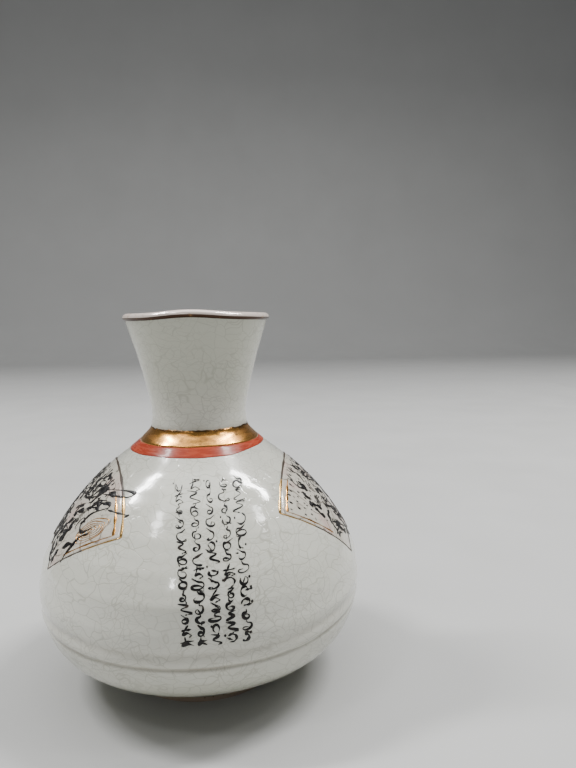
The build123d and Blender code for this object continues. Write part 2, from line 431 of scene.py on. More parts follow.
def abstract_mark(brush, rng, centre, half_width, height, width):
    """One invented mark of loops, hooks, bars and dots; returns where its last stroke ends."""
    side = rng.choice((-1, 1))
    kind = rng.random()
    across, up = centre
    top = up + height / 2
    if kind < 0.58:
        lead = [(across - side * half_width * rng.uniform(-0.3, 1.0), top), (across, up + 0.2 * height)]
        reach = (half_width * rng.uniform(0.5, 0.95), height * rng.uniform(0.2, 0.36))
        sweep, drift = -side * rng.uniform(5.0, 8.6), rng.uniform(0.2, 0.6) * height
        turned = looped((across, up), reach, pi / 2, sweep, drift)
        path = lead + turned[1:]
    elif kind < 0.70:
        level = up + rng.uniform(-0.1, 0.35) * height
        bar = [(across - half_width, level - rng.uniform(0.0, 0.8)), (across, level)]
        brush.drawn(bar + [(across + half_width, level + 0.2)], width * 0.8, rng, steps=6)
        path = [(across + rng.uniform(-0.6, 0.8), top), (across - 0.5, up)]
        path.append((across - 0.7 * half_width, up - 0.4 * height))
        path += [(across + 0.1 * half_width, up - 0.25 * height), (across + half_width, up - 0.45 * height)]
    elif kind < 0.84:
        path = [(across + side * over * half_width, up + rise * height) for over, rise in zigzag]
    else:
        reach = (half_width * rng.uniform(0.5, 1.0), height * rng.uniform(0.3, 0.45))
        path = looped((across, up), reach, rng.uniform(0, tau), side * rng.uniform(3.6, 5.6), 0.3)
        brush.dot((across + side * half_width, up + rng.uniform(-0.4, 0.4) * height), width * 0.5)
    if rng.random() < 0.4:
        start = (across + rng.uniform(-1.0, 0.2) * half_width, up + rng.uniform(-0.3, 0.5) * height)
        end = (start[0] + rng.uniform(0.5, 1.3) * half_width, start[1] + rng.uniform(-0.4, 0.2) * height)
        brush.drawn([start, end], width * 0.85, rng, steps=9)
    brush.drawn(path, width, rng)
    return path[-1]


def brush_column(side_name, azimuth, number):
    """One column of abstract brush marks, fine at the top and heavier downwards."""
    rng = random.Random(f"{side_name} column {number}")
    brush = Brush(azimuth, column_ink)
    last = None
    step = (column_top - column_bottom) / column_marks
    for mark in range(column_marks):
        down = (mark + 0.5) / column_marks
        pitch = pitch_top + (pitch_bottom - pitch_top) * down
        shift = shift_top + (shift_bottom - shift_top) * down
        across = (number - (column_count - 1) / 2) * pitch + shift + rng.uniform(-0.25, 0.25)
        level = column_top - (mark + 0.5) * step + rng.uniform(-0.15, 0.15)
        width = thin_stroke + (thick_stroke - thin_stroke) * down ** 1.5
        if last and rng.random() < 0.7:
            joining = (across + rng.uniform(-0.6, 0.6), level + step * 0.4)
            brush.drawn([last, joining], width * 0.6, rng, steps=8)
        wide = mark_half_width * rng.uniform(0.75, 1.15)
        tall = step * rng.uniform(0.85, 1.0)
        last = abstract_mark(brush, rng, (across, level), wide, tall, width * rng.uniform(0.85, 1.2))
    return brush


# ==== folding fans ================
def on_fan(fan, radius, angle):
    """Place on a fan at a radius from its pivot and degrees clockwise from its middle."""
    turn = radians(fan_lean + angle)
    return (fan["pivot"][0] + radius * sin(turn), fan["pivot"][1] + radius * cos(turn))


def from_front(fan, share, inside):
    """Place on a fan at a share of its outer radius and degrees inside its front side."""
    return on_fan(fan, fan["outer"] * share, fan["front"] * (fan_half_opening - inside))


def fan_ground(fan, name, look, node):
    """The fan's thin pale leaf, a closed sheet lying on the glaze."""
    across, out = 90, 36
    inner = fan["outer"] * fan_inner_share
    points = []
    for lift in (leaf_half_height, -leaf_half_height):
        for row in range(out + 1):
            radius = inner + (fan["outer"] - inner) * row / out
            for column in range(across + 1):
                angle = fan_half_opening * (2 * column / across - 1)
                edge = row in (0, out) or column in (0, across)
                height = paint_edge if edge and lift > 0 else lift
                points.append(face_on(fan["azimuth"], on_fan(fan, radius, angle), height))
    width = across + 1
    under = width * (out + 1)
    faces = []
    for row in range(out):
        for column in range(across):
            corner = row * width + column
            quad = (corner, corner + 1, corner + width + 1, corner + width)
            faces += [quad, tuple(index + under for index in quad[::-1])]
    rim = list(range(across))
    rim += [row * width + across for row in range(out)]
    rim += [out * width + column for column in range(across, 0, -1)]
    rim += [row * width for row in range(out, 0, -1)]
    for here, beyond in zip(rim, rim[1:] + rim[:1]):
        faces.append((here, here + under, beyond + under, beyond))
    return make_piece(name, points, faces, look, node)


def fan_line_path(fan, inset, side=0, length=None):
    """Places along one edge of the leaf: the outer arc for side 0, else a straight side."""
    if side == 0:
        outer = fan["outer"] - inset
        span = 2 * fan_half_opening if length is None else degrees(length / outer)
        start = fan_half_opening - degrees(inset / outer)
        return [on_fan(fan, outer, fan["front"] * (start - span * step / 60)) for step in range(61)]
    inner = fan["outer"] * fan_inner_share if length is None else fan["outer"] - inset - length
    path = []
    for step in range(41):
        radius = inner + (fan["outer"] - inset - inner) * step / 40
        path.append(on_fan(fan, radius, side * (fan_half_opening - degrees(inset / radius))))
    return path


def fan_outline(fan):
    """The thin line that edges the fan's leaf."""
    brush = Brush(fan["azimuth"], outline_ink)
    inner_radius = fan["outer"] * fan_inner_share
    inner = [on_fan(fan, inner_radius, fan_half_opening * (2 * step / 40 - 1)) for step in range(41)]
    for path in (fan_line_path(fan, 0), fan_line_path(fan, 0, 1), fan_line_path(fan, 0, -1), inner):
        widths = [fan_edging * (0.85 + 0.3 * sin(0.9 * step) * sin(0.23 * step)) for step in range(len(path))]
        brush.stroke(path, widths)
    return brush


def fan_gilding(fan):
    """Gold lines just inside the leaf's front top corner."""
    brush = Brush(fan["azimuth"], corner_gold)
    for side in (0, fan["front"]):
        path = fan_line_path(fan, gilding_inset, side, gilding_reach)
        last = len(path) - 1
        widths = []
        for step in range(last + 1):
            taper = min(1.0, 0.15 + 4 * (last - step) / last)
            widths.append((0.5 + 0.18 * sin(0.35 * step)) * taper)
        brush.stroke(path, widths)
    return brush


def nested_curves(brush, rng, centre, size, count, width):
    """A few curves one inside another, like folds."""
    start = rng.uniform(0, tau)
    sweep = rng.uniform(1.6, 2.8)
    for ring in range(count):
        reach = size * (1 - 0.7 * ring / count)
        brush.drawn(looped(centre, (reach, reach * 0.8), start, sweep, 0.0), width, rng, steps=6)


def bold_stroke(brush, rng, start, turn, length, width):
    """One pressed stroke that bends a little on its way."""
    bend = rng.uniform(-0.5, 0.5)
    path = [start]
    for _ in range(3):
        path.append((path[-1][0] + length / 3 * cos(turn), path[-1][1] + length / 3 * sin(turn)))
        turn += bend
    brush.drawn(path, width, rng, steps=6)


def shifted(place, *moves):
    """Places reached from one place by moves sideways and up."""
    return [(place[0] + move[0], place[1] + move[1]) for move in moves]


def loose_strokes(brush, rng, fan):
    """Strokes that run out over the leaf's edge, and a hook round the wood grain."""
    upper = from_front(fan, 1.0, 22.0)
    outward = shifted(upper, (-6, -0.4), (0, 0.4), (2.6, 0.3), (3.3, -0.3))
    back = shifted(upper, (2.4, -1.0), (-2, -1.3), (-8, -1.9))
    brush.drawn(outward + back, 0.55, rng, steps=7)
    middle = from_front(fan, 1.0, 10.0)
    brush.drawn(shifted(middle, (-5, 0.4), (-2, 0.2), (0.8, 0.1)), 0.5, rng, steps=7)
    brush.dot(shifted(middle, (0.9, -0.1))[0], 0.38)
    grain = from_front(fan, *grain_place)
    hook = shifted(grain, (-1.0, 6.0), (-4.8, 3.4), (-5.0, 0.2), (-2.2, -1.0), (0.4, 1.4))
    brush.drawn(hook, 0.95, rng, steps=8)
    lower = from_front(fan, 0.70, 4.0)
    brush.drawn(shifted(lower, (2.0, 5.0), (0.0, 3.4), (-0.8, 0.0), (-1.0, -4.0)), 1.3, rng, steps=8)


def fan_brushwork(side_name, fan):
    """Dense abstract brushwork: bold and fine strokes, nested curves and rows of small dots."""
    rng = random.Random(f"{side_name} fan")
    brush = Brush(fan["azimuth"], fan_ink)
    whole = 2 * fan_half_opening
    has_grain = side_name in grain_fans
    for row in range(brush_rows):
        share = brush_low + (brush_high - brush_low) * row / (brush_rows - 1)
        count = int(whole * share / mark_spacing)
        for mark in range(count):
            inside = whole * (mark + rng.uniform(0.2, 0.8)) / count
            clear = 18.0 if has_grain and share > 0.64 else 7.0 + 14.0 * max(0.0, share - 0.8) / 0.12
            if inside < clear or inside > whole - 6:
                continue
            centre = from_front(fan, share + rng.uniform(-0.02, 0.02), inside)
            kind = rng.random()
            if kind < 0.46:
                turn = rng.gauss(1.0, 0.6) * fan["front"] + (pi if rng.random() < 0.5 else 0)
                length = rng.uniform(3.2, 7.0) * (1.0 if share < 0.8 else 0.5)
                bold_stroke(brush, rng, centre, turn, length, rng.uniform(1.0, 2.2))
            elif kind < 0.66:
                size, count_inside = rng.uniform(1.6, 3.0), rng.randint(2, 4)
                nested_curves(brush, rng, centre, size, count_inside, rng.uniform(0.3, 0.45))
            else:
                wide, tall = rng.uniform(1.4, 2.6), rng.uniform(2.8, 5.0)
                abstract_mark(brush, rng, centre, wide, tall, rng.uniform(0.5, 0.95))
    for row in range(4):
        for dot in range(26):
            inside = 4.0 + 3.3 * dot + 1.6 * (row % 2)
            if inside > whole - 4 or (has_grain and inside < 25):
                continue
            share = 0.955 - 0.04 * row + rng.uniform(-0.006, 0.006)
            place = from_front(fan, share, inside + rng.uniform(-0.4, 0.4))
            brush.dot(place, rng.uniform(0.22, 0.40))
    for _ in range(40):
        inside = rng.uniform(4, whole - 6)
        share = rng.uniform(0.5, 0.93)
        if not (has_grain and share > 0.62 and inside < 18):
            brush.dot(from_front(fan, share, inside), rng.uniform(0.18, 0.34))
    if has_grain:
        loose_strokes(brush, rng, fan)
    return brush


def fan_grain(fan):
    """Nested rings like wood grain near the fan's front corner, in gold."""
    brush = Brush(fan["azimuth"], grain_gold)
    share, inside = grain_place
    centre = from_front(fan, share, inside)
    slant = radians(40.0) * fan["front"]
    for ring in range(6):
        size = 0.45 + 0.62 * ring
        path = []
        for step in range(49):
            turn = tau * step / 48
            swell = 1 + 0.10 * sin(2 * turn + ring) + 0.05 * sin(5 * turn)
            along, over = size * 1.25 * cos(turn) * swell, size * 0.8 * sin(turn) * swell
            across = along * cos(slant) - over * sin(slant)
            up = along * sin(slant) + over * cos(slant)
            path.append((centre[0] + across, centre[1] + up))
        brush.stroke(path, [0.22 + 0.09 * sin(3 * tau * step / 48 + ring) for step in range(49)])
    return brush


# ==== materials ================
class Graph:
    """A material's nodes, with short calls to add and join them."""

    def __init__(self, name):
        self.material = bpy.data.materials.new(name)
        self.material.use_nodes = True
        self.tree = self.material.node_tree
        self.shader = self.tree.nodes["Principled BSDF"]
        self.colour = None
        self.place = self.node("ShaderNodeTexCoord").outputs["Object"]

    def node(self, kind, **settings):
        """Adds a node, setting its properties."""
        made = self.tree.nodes.new(kind)
        for key, value in settings.items():
            setattr(made, key, value)
        return made

    def fix(self, made, **values):
        """Sets inputs of a node to values; an underscore stands for a space in an input's name."""
        for key, value in values.items():
            made.inputs[key.replace("_", " ")].default_value = value

    def join(self, source, target):
        """Feeds a socket from an output, or sets it to a value."""
        if isinstance(source, (int, float, tuple)):
            target.default_value = source
        else:
            self.tree.links.new(source, target)

    def noise(self, scale, detail=3.0, roughness=0.5, stretch=None):
        """Noise between 0 and 1, optionally stretched along the axes."""
        made = self.node("ShaderNodeTexNoise")
        source = self.place
        if stretch:
            mapping = self.node("ShaderNodeMapping")
            self.fix(mapping, Scale=stretch)
            self.join(source, mapping.inputs["Vector"])
            source = mapping.outputs["Vector"]
        self.join(source, made.inputs["Vector"])
        self.fix(made, Scale=scale, Detail=detail, Roughness=roughness)
        return made.outputs["Fac"]

    def wander(self, scale, reach):
        """Noise about zero, reaching half as far each way."""
        return self.times(self.math("SUBTRACT", self.noise(scale, 3.0), 0.5), reach)

    def ramp(self, source, low, high, bottom=0.0, top=1.0):
        """A value taken smoothly from one range to another."""
        made = self.node("ShaderNodeMapRange", interpolation_type="SMOOTHSTEP")
        self.join(source, made.inputs["Value"])
        self.fix(made, From_Min=low, From_Max=high, To_Min=bottom, To_Max=top)
        return made.outputs["Result"]

    def patches(self, scale, detail, low, high, bottom=0.0, top=1.0):
        """Noise taken smoothly from one range to another."""
        return self.ramp(self.noise(scale, detail), low, high, bottom, top)

    def stored(self, label):
        """The number that the mesh stores on its points under a label."""
        return self.node("ShaderNodeAttribute", attribute_name=label).outputs["Fac"]

    def upward(self, source):
        """The Z value of a vector."""
        made = self.node("ShaderNodeSeparateXYZ")
        self.join(source, made.inputs[0])
        return made.outputs["Z"]

    def times(self, first, second):
        """The product of two values."""
        return self.math("MULTIPLY", first, second)

    def math(self, operation, first, second):
        """A sum, product or the like of two values."""
        made = self.node("ShaderNodeMath", operation=operation)
        self.join(first, made.inputs[0])
        self.join(second, made.inputs[1])
        return made.outputs["Value"]

    def ground(self, share, first, second):
        """Starts the colour as two colours mixed by a share."""
        made = self.node("ShaderNodeMix", data_type="RGBA")
        self.join(share, made.inputs["Factor"])
        self.join(first, made.inputs[6])
        self.join(second, made.inputs[7])
        self.colour = made.outputs[2]

    def paint(self, share, second):
        """Lays one more colour over the colour so far, by a share."""
        self.ground(share, self.colour, second)

    def warped(self, scale, reach):
        """The place, pushed about by noise."""
        made = self.node("ShaderNodeTexNoise")
        self.join(self.place, made.inputs["Vector"])
        self.fix(made, Scale=scale, Detail=2.0)
        centred = self.node("ShaderNodeVectorMath", operation="SUBTRACT")
        self.join(made.outputs["Color"], centred.inputs[0])
        centred.inputs[1].default_value = (0.5, 0.5, 0.5)
        scaled = self.node("ShaderNodeVectorMath", operation="SCALE")
        self.join(centred.outputs["Vector"], scaled.inputs[0])
        self.fix(scaled, Scale=reach)
        moved = self.node("ShaderNodeVectorMath", operation="ADD")
        self.join(self.place, moved.inputs[0])
        self.join(scaled.outputs["Vector"], moved.inputs[1])
        return moved.outputs["Vector"]

    def cracks(self, scale, thickness, warp_scale, warp_reach):
        """Thin lines between flattish cells, 1 on a line and 0 away from it."""
        cells = self.node("ShaderNodeTexVoronoi", feature="DISTANCE_TO_EDGE")
        flatter = self.node("ShaderNodeMapping")
        self.fix(flatter, Scale=(1.0, 1.0, 1.8))
        self.join(self.warped(warp_scale, warp_reach), flatter.inputs["Vector"])
        self.join(flatter.outputs["Vector"], cells.inputs["Vector"])
        self.fix(cells, Scale=scale)
        return self.ramp(cells.outputs["Distance"], 0.0, thickness, 1.0, 0.0)

    def bump(self, height, strength, distance):
        """Relief from a height value."""
        made = self.node("ShaderNodeBump")
        self.fix(made, Strength=strength, Distance=distance)
        self.join(height, made.inputs["Height"])
        self.join(made.outputs["Normal"], self.shader.inputs["Normal"])

    def finish(self, roughness, **fixed):
        """Joins colour and roughness, and sets what is the same all over."""
        self.join(self.colour, self.shader.inputs["Base Color"])
        self.join(roughness, self.shader.inputs["Roughness"])
        self.fix(self.shader, **fixed)
        return self.material


def rgb(red, green, blue):
    """A colour of linear light as the nodes take it."""
    return (red, green, blue, 1.0)


def crackle_glaze():
    """Pale grey-green glaze over stoneware, with two nets of fine cracks and a soft skin; painted shade
    darkens it towards the foot, and painted shade with an olive tint of its own darkens the neck.
    """
    graph = Graph("celadon_glaze")
    up = graph.upward(graph.place)
    graph.ground(graph.noise(38.0, 4.0), rgb(0.640, 0.640, 0.555), rgb(0.740, 0.735, 0.655))
    # Painted shade: the glaze turns darker olive towards the foot, below about 30 mm.
    graph.paint(graph.ramp(up, 0.010, 0.030, 0.75, 0.0), rgb(0.530, 0.535, 0.430))
    # Partly the glaze's own olive tint and partly painted shade: the glaze turns darker olive on the neck,
    # above about 80 mm.
    graph.paint(graph.ramp(up, 0.080, 0.100, 0.0, 0.8), rgb(0.490, 0.500, 0.405))
    # Brown darkening stored on the points: in and about the grooves, in the crease under the neck and at the
    # foot, and faintly on the floor inside.
    darkened = graph.times(graph.stored("darkening"), graph.patches(70.0, 3.0, 0.25, 0.7, 0.45, 1.0))
    graph.paint(darkened, rgb(0.260, 0.205, 0.140))
    graph.paint(graph.patches(900.0, 2.0, 0.70, 0.78, 0.0, 0.35), rgb(0.36, 0.31, 0.24))
    wide_cracks = graph.cracks(165.0, 0.040, 70.0, 0.016)
    fine_cracks = graph.cracks(330.0, 0.060, 120.0, 0.008)
    fine_patches = graph.patches(55.0, 2.0, 0.38, 0.60, 0.10, 0.75)
    wide_patches = graph.patches(48.0, 2.0, 0.30, 0.55, 0.30, 0.80)
    wide_share = graph.times(wide_cracks, wide_patches)
    fine_share = graph.times(fine_cracks, fine_patches)
    all_cracks = graph.math("MAXIMUM", wide_share, fine_share)
    graph.paint(graph.times(all_cracks, 0.62), rgb(0.330, 0.320, 0.250))
    peel = graph.times(graph.noise(420.0, 2.0), 0.4)
    relief = graph.math("SUBTRACT", peel, graph.times(all_cracks, 0.6))
    graph.bump(relief, 0.28, 0.00014)
    roughness = graph.patches(120.0, 3.0, 0.3, 0.7, 0.09, 0.17)
    return graph.finish(roughness, Coat_Weight=0.4, Coat_Roughness=0.035, Subsurface_Weight=0.10,
                        Subsurface_Radius=(0.0022, 0.0020, 0.0015), IOR=1.52)


def lustre_gold():
    """Fired gold lustre: bright over most of it, thin and dark where the brush ran dry at its upper edge."""
    graph = Graph("lustre_gold")
    streaks = graph.noise(160.0, 4.0, 0.6, stretch=(1.0, 1.0, 5.0))
    graph.ground(graph.ramp(streaks, 0.35, 0.70), rgb(0.76, 0.38, 0.095), rgb(0.44, 0.20, 0.055))
    graph.paint(graph.patches(300.0, 3.0, 0.56, 0.72, 0.0, 0.75), rgb(0.18, 0.09, 0.035))
    ragged_up = graph.math("ADD", graph.stored("up"), graph.times(graph.noise(190.0, 4.0, 0.7), 0.5))
    graph.paint(graph.ramp(ragged_up, 1.13, 1.22, 0.0, 0.92), rgb(0.045, 0.027, 0.016))
    roughness = graph.ramp(streaks, 0.3, 0.75, 0.16, 0.38)
    graph.bump(graph.noise(700.0, 3.0), 0.25, 0.00008)
    return graph.finish(roughness, Metallic=0.95)


def iron_red():
    """Brick-red overglaze enamel with the streaks of a banding brush."""
    graph = Graph("iron_red_enamel")
    streaks = graph.noise(230.0, 4.0, 0.6, stretch=(1.0, 1.0, 7.0))
    graph.ground(graph.ramp(streaks, 0.3, 0.7), rgb(0.31, 0.036, 0.017), rgb(0.46, 0.075, 0.034))
    graph.paint(graph.patches(420.0, 3.0, 0.66, 0.80, 0.0, 0.5), rgb(0.56, 0.25, 0.16))
    graph.paint(graph.ramp(graph.stored("up"), 0.0, 0.16, 0.55, 0.0), rgb(0.22, 0.022, 0.012))
    roughness = graph.ramp(streaks, 0.3, 0.7, 0.18, 0.34)
    graph.bump(streaks, 0.25, 0.00010)
    return graph.finish(roughness, Coat_Weight=0.06, Coat_Roughness=0.05, Specular_IOR_Level=0.15)


def black_enamel():
    """Black overglaze ink that turns brown where it lies thin."""
    graph = Graph("black_enamel")
    wash = graph.noise(520.0, 3.0, 0.6)
    graph.ground(graph.ramp(wash, 0.50, 0.80), rgb(0.004, 0.0035, 0.0035), rgb(0.040, 0.026, 0.018))
    roughness = graph.ramp(wash, 0.3, 0.7, 0.34, 0.55)
    graph.bump(wash, 0.2, 0.00006)
    return graph.finish(roughness, Coat_Weight=0.08, Coat_Roughness=0.15, Specular_IOR_Level=0.3)


def fan_slip():
    """Pale fan ground with pinkish washes, fine drawn ripples, specks and crackle."""
    graph = Graph("fan_slip")
    wash = graph.patches(110.0, 3.0, 0.50, 0.70)
    graph.ground(wash, rgb(0.62, 0.585, 0.50), rgb(0.60, 0.48, 0.42))
    ripples = graph.node("ShaderNodeTexWave", wave_type="RINGS", rings_direction="SPHERICAL")
    graph.join(graph.warped(30.0, 0.06), ripples.inputs["Vector"])
    graph.fix(ripples, Scale=125.0, Distortion=3.0)
    lines = graph.ramp(ripples.outputs["Fac"], 0.0, 0.07, 0.7, 0.0)
    broken = graph.times(lines, graph.patches(140.0, 2.0, 0.40, 0.52))
    graph.paint(broken, rgb(0.13, 0.10, 0.08))
    graph.paint(graph.patches(620.0, 2.0, 0.66, 0.72, 0.0, 0.7), rgb(0.10, 0.08, 0.07))
    cracks = graph.cracks(190.0, 0.04, 80.0, 0.008)
    graph.paint(graph.times(cracks, 0.4), rgb(0.27, 0.25, 0.2))
    roughness = graph.ramp(wash, 0.0, 1.0, 0.14, 0.26)
    graph.bump(graph.noise(500.0, 2.0), 0.2, 0.00008)
    return graph.finish(roughness, Coat_Weight=0.3, Coat_Roughness=0.06)


def fan_line():
    """The fan's outline: dark line, gilded near the front corner."""
    graph = Graph("fan_line")
    gilt = graph.stored("gilt")
    wander = graph.wander(160.0, 0.8)
    share = graph.ramp(graph.math("ADD", gilt, wander), 0.35, 0.65)
    graph.ground(share, rgb(0.055, 0.038, 0.026), rgb(0.62, 0.38, 0.13))
    metal = graph.ramp(share, 0.0, 1.0, 0.0, 0.85)
    graph.join(metal, graph.shader.inputs["Metallic"])
    graph.bump(graph.noise(640.0, 2.0), 0.2, 0.00006)
    return graph.finish(graph.ramp(share, 0.0, 1.0, 0.42, 0.24))


def lip_gold():
    """Gold lustre on the lip, coloured by painted light: a pale painted highlight on the crown, where it
    faces up, and a dark brown painted reflection along its lower edge, where it faces down.
    """
    graph = Graph("lip_gold")
    facing = graph.upward(graph.node("ShaderNodeTexCoord").outputs["Normal"])
    wander = graph.wander(130.0, 0.25)
    # Painted highlight and painted reflection: pale where the lip faces up, dark brown where it faces down;
    # the same share also sets metal and roughness.
    crown = graph.ramp(graph.math("ADD", facing, wander), -0.20, 0.05)
    graph.ground(crown, rgb(0.050, 0.027, 0.016), rgb(0.88, 0.77, 0.69))
    graph.paint(graph.patches(420.0, 3.0, 0.60, 0.75, 0.0, 0.5), rgb(0.45, 0.25, 0.10))
    graph.join(graph.ramp(crown, 0.0, 1.0, 0.85, 0.25), graph.shader.inputs["Metallic"])
    graph.bump(graph.noise(640.0, 2.0), 0.2, 0.00006)
    return graph.finish(graph.ramp(crown, 0.0, 1.0, 0.36, 0.14))


def bare_clay():
    """Unglazed stoneware, buff with iron specks and a gritty skin."""
    graph = Graph("bare_clay")
    graph.ground(graph.noise(90.0, 5.0, 0.65), rgb(0.36, 0.265, 0.18), rgb(0.50, 0.40, 0.30))
    graph.paint(graph.patches(1100.0, 2.0, 0.66, 0.74, 0.0, 0.8), rgb(0.12, 0.075, 0.05))
    relief = graph.noise(800.0, 4.0, 0.7)
    graph.bump(relief, 0.5, 0.0002)
    return graph.finish(graph.ramp(relief, 0.2, 0.8, 0.72, 0.9))


def studio_floor():
    """Pale matte table."""
    graph = Graph("studio_floor")
    graph.ground(graph.noise(6.0, 4.0), rgb(0.44, 0.44, 0.43), rgb(0.49, 0.49, 0.48))
    graph.bump(graph.noise(300.0, 3.0), 0.15, 0.0002)
    return graph.finish(graph.patches(20.0, 3.0, 0.3, 0.7, 0.55, 0.7))


# ==== building the bottle ================
# A look is a material and the slot that it stands for.
glaze_look = (crackle_glaze(), "celadon_glaze")
gold_look = (lustre_gold(), "lustre_gold")
red_look = (iron_red(), "iron_red_enamel")
ink_look = (black_enamel(), "black_enamel")
slip_look = (fan_slip(), "fan_slip")
line_look = (fan_line(), "fan_line")
lip_look = (lip_gold(), "lustre_gold")
clay_look = (bare_clay(), "bare_clay")


def lip_arc(side):
    """Quarter-round of the lip, from its side up to its crown; side is 1 outside and -1 inside."""
    middle = (1.532 * throat_radius - wall / 2, total_height - lip_rounding)
    shoulder = wall / 2 - lip_rounding
    points = []
    for step in range(9):
        turn = pi / 2 * step / 8
        radius = middle[0] + side * (shoulder + lip_rounding * cos(turn))
        points.append((radius, middle[1] + lip_rounding * sin(turn)))
    return points


def outer_glaze_loop():
    """Closed section of the outer glaze, from the foot over the lip's crown and back inside itself."""
    lip = lip_arc(1)
    rising = outside[outside_heights < lip[0][1] - 0.2]
    front = np.concatenate([rising, np.array(lip)])
    back = offset_line(front, -glaze)
    return np.concatenate([front, back[::-4]])


def bent(start, pull, end, share):
    """The point at a share of the way along a curve that bends towards a third point."""
    near, towards, far = (1 - share) ** 2, 2 * share * (1 - share), share ** 2
    return [near * first + towards * second + far * third for first, second, third in zip(start, pull, end)]


def inner_line():
    """Radius and height along the face of the inner glaze, from the lip's crown down to the axis."""
    floor = foot_height + wall
    lip = lip_arc(-1)
    inside = offset_line(outside, -wall)
    keep = inside[(inside[:, 1] > floor + 2.4) & (inside[:, 1] < lip[0][1] - 0.2)]
    foot_of_wall = keep[0]
    corner = (foot_of_wall[0] - 3.0, floor)
    landing = (foot_of_wall[0] - 8.0, floor)
    bend = [bent(foot_of_wall, corner, landing, step / 10) for step in range(1, 10)]
    flat = [(landing[0] * (1 - step / 8), floor) for step in range(8)]
    return np.concatenate([lip[::-1], keep[::-1], bend, flat, [(near_axis, floor)]])


def clay_faces():
    """Outer and inner face of the clay, each from low to high, and the wall's middle line."""
    outer = offset_line(outside, -glaze - 0.01)
    inner = offset_line(inner_line()[::-1], glaze + 0.01)
    inner[:, 0] = np.maximum(inner[:, 0], near_axis)
    return outer, inner, offset_line(outside, -wall / 2)


outer_face, inner_face, wall_middle = clay_faces()


def between(line, low, high):
    """The part of a rising line between two heights."""
    return line[(line[:, 1] > low) & (line[:, 1] < high)]


def neck_clay_loop():
    """Closed section of the clay neck, with its half-lap foot."""
    high = total_height - glaze - 0.6
    outer_part = between(outer_face, neck_foot, high)
    inner_part = between(inner_face, neck_foot - lap, high)
    step = between(wall_middle, neck_foot - lap, neck_foot)
    return np.concatenate([outer_part, inner_part[::-1], step])


def belly_clay_loop():
    """Closed section of the belly and shoulder, between its two half-lap joints."""
    outer_part = between(outer_face, seam_height, neck_foot)
    upper_step = between(wall_middle, neck_foot - lap, neck_foot)
    inner_part = between(inner_face, seam_height + lap, neck_foot - lap)
    lower_step = between(wall_middle, seam_height, seam_height + lap)
    return np.concatenate([outer_part, upper_step[::-1], inner_part[::-1], lower_step[::-1]])


def bowl_clay_loop():
    """Closed section of the bowl, from its flat underside to the half-lap joint at the seam."""
    outer_part = between(outer_face, foot_height + glaze, seam_height)
    step = between(wall_middle, seam_height, seam_height + lap)
    inner_part = inner_face[inner_face[:, 1] < seam_height + lap]
    underside = [(foot_radius * step / 6 + near_axis, foot_height + glaze + 0.01) for step in range(6)]
    return np.concatenate([outer_part, step, inner_part[::-1], underside])


def lip_gilding_loop():
    """Closed section of the gilding on the lip, from its outer side over the crown."""
    lip = np.array(lip_arc(1))
    side = between(outside, total_height - lip_gilding_depth, lip[0][1] - 0.2)
    line = np.concatenate([side, lip])
    thickness = np.minimum(0.06, 0.004 + 0.03 * np.arange(len(line)))[:, None]
    face = line + (offset_line(line, 1.0) - line) * thickness
    return np.concatenate([face, offset_line(line, -0.08)[::-1]])


def inner_glaze_loop():
    """Closed section of the inner glaze."""
    face = inner_line()
    back = offset_line(face, -glaze)
    back[:, 0] = np.maximum(back[:, 0], near_axis)
    return np.concatenate([face, back[::-3]])


def store_shares(piece, label, shares):
    """Stores a number on each point of a piece, for its material."""
    attribute = piece.data.attributes.new(label, "FLOAT", "POINT")
    attribute.data.foreach_set("value", shares)


def add_darkening(piece, share_at):
    """Stores how far the glaze is darkened brown at each point."""
    places = [(atan2(vertex.co.x, -vertex.co.y), vertex.co.z / MM) for vertex in piece.data.vertices]
    store_shares(piece, "darkening", [share_at(*place) for place in places])


def outside_darkening(azimuth, height):
    """Brown darkening in and about the grooves, in the crease under the neck and at the foot."""
    seam = seam_at(azimuth)
    share = 0.70 * bell(height, seam, 0.42) + 0.20 * bell(height, seam + soft_groove_above, 1.4)
    share += 0.12 * bell(height, seam + 2.0, 3.5)
    share += 0.45 * bell(height, neck_foot + 0.8, 0.8) + 0.5 * bell(height, bare_clay_height, 0.9)
    return min(1.0, share)


def inside_darkening(azimuth, height):
    """Faint brown darkening on the floor, the same all round."""
    return 0.25 * bell(height, foot_height + wall, 1.0)


outer = turned_piece("outer_glaze_coat", outer_glaze_loop(), glaze_look, "outer_glaze")
add_darkening(outer, outside_darkening)
inner = turned_piece("inner_glaze_coat", inner_glaze_loop(), glaze_look, "inner_glaze")
add_darkening(inner, inside_darkening)
turned_piece("neck_clay", neck_clay_loop(), clay_look, "neck")
turned_piece("belly_clay", belly_clay_loop(), clay_look, "belly_shell")
turned_piece("bowl_clay", bowl_clay_loop(), clay_look, "bowl_base")
turned_piece("lip_gilding_ring", lip_gilding_loop(), lip_look, "lip_gilding")


def ragged(azimuth, seed, fineness):
    """A hand-painted edge's wander, between about -1 and 1."""
    return noise.noise(Vector((fineness * cos(azimuth), fineness * sin(azimuth), seed)))


def gold_edges(azimuth):
    """Low and high edge of the gold collar band."""
    low = gold_low + 0.10 * ragged(azimuth, 1.5, 4.0)
    return low, gold_high + 0.35 * ragged(azimuth, 2.5, 3.0) + 0.25 * ragged(azimuth, 3.5, 14.0)


def red_edges(azimuth):
    """Low and high edge of the red band, narrower on the right."""
    low = red_low + red_narrowing * towards_right(azimuth) + 0.12 * ragged(azimuth, 5.5, 3.0)
    return low, gold_low + 0.05 + 0.06 * ragged(azimuth, 6.5, 4.0)


band_piece("red_band", red_edges, red_height, red_look, "red_shoulder_band")
band_piece("gold_band", gold_edges, gold_height, gold_look, "gold_collar_band")

for side_name, azimuth in column_azimuths.items():
    for number in range(column_count):
        node = f"{side_name}_brush_column_{number + 1}"
        column = brush_column(side_name, azimuth, number)
        column.piece(f"{node}_strokes", ink_look, node)

